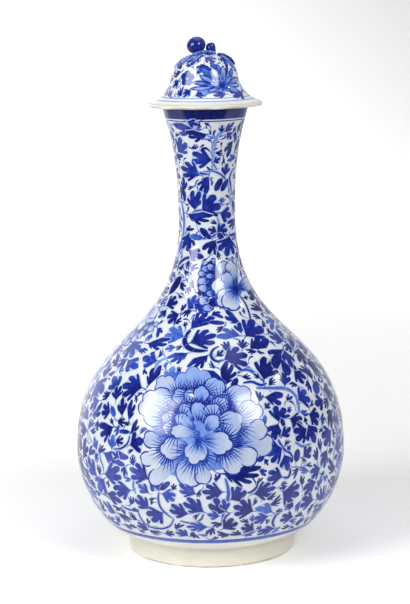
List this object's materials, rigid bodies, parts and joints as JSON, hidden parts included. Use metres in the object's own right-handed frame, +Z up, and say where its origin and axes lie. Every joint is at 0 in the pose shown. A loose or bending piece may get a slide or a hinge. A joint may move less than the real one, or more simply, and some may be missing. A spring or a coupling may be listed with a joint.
{
  "type": "covered vase",
  "caption": "Blue-and-white porcelain bottle vase with a globular body, slender flared neck, foot ring and a lift-off bell-shaped cover with a fruit sprig knob",
  "frame": {"origin": "the middle of the face that the foot ring stands on", "axes": "+Z is up along the vase's axis, +X is to the right and -Y is towards the viewer of the side with the large peony"},
  "size_m": [0.21, 0.21, 0.3993],
  "materials": {
    "painted_glaze": "clear gloss glaze over cobalt painting on a bluish white body",
    "cobalt_glaze": "gloss glaze over a deep cobalt wash",
    "leaf_glaze": "gloss glaze over a pale cobalt wash with dark edges",
    "bare_foot": "thin ivory glaze, wiped at the standing edge",
    "bare_collar": "unglazed fine body, matt"
  },
  "bodies": {
    "vase": {"foot_ring": "bare_foot", "lower_body": "painted_glaze", "upper_body": "painted_glaze", "neck": "painted_glaze"},
    "cover": {"cover_dome": "painted_glaze", "cover_collar": "bare_collar", "finial_fruit": "cobalt_glaze", "finial_bud": "cobalt_glaze", "fruit_calyx": "painted_glaze", "finial_branch": "cobalt_glaze", "finial_twig": "cobalt_glaze", "leaf_left": "leaf_glaze", "leaf_front": "leaf_glaze", "leaf_right": "leaf_glaze"}
  },
  "joints": [
    {"name": "cover_lift", "type": "slide", "parent": "vase", "child": "cover", "axis": [0, 0, 1], "range_m": [0, 0.09]}
  ]
}
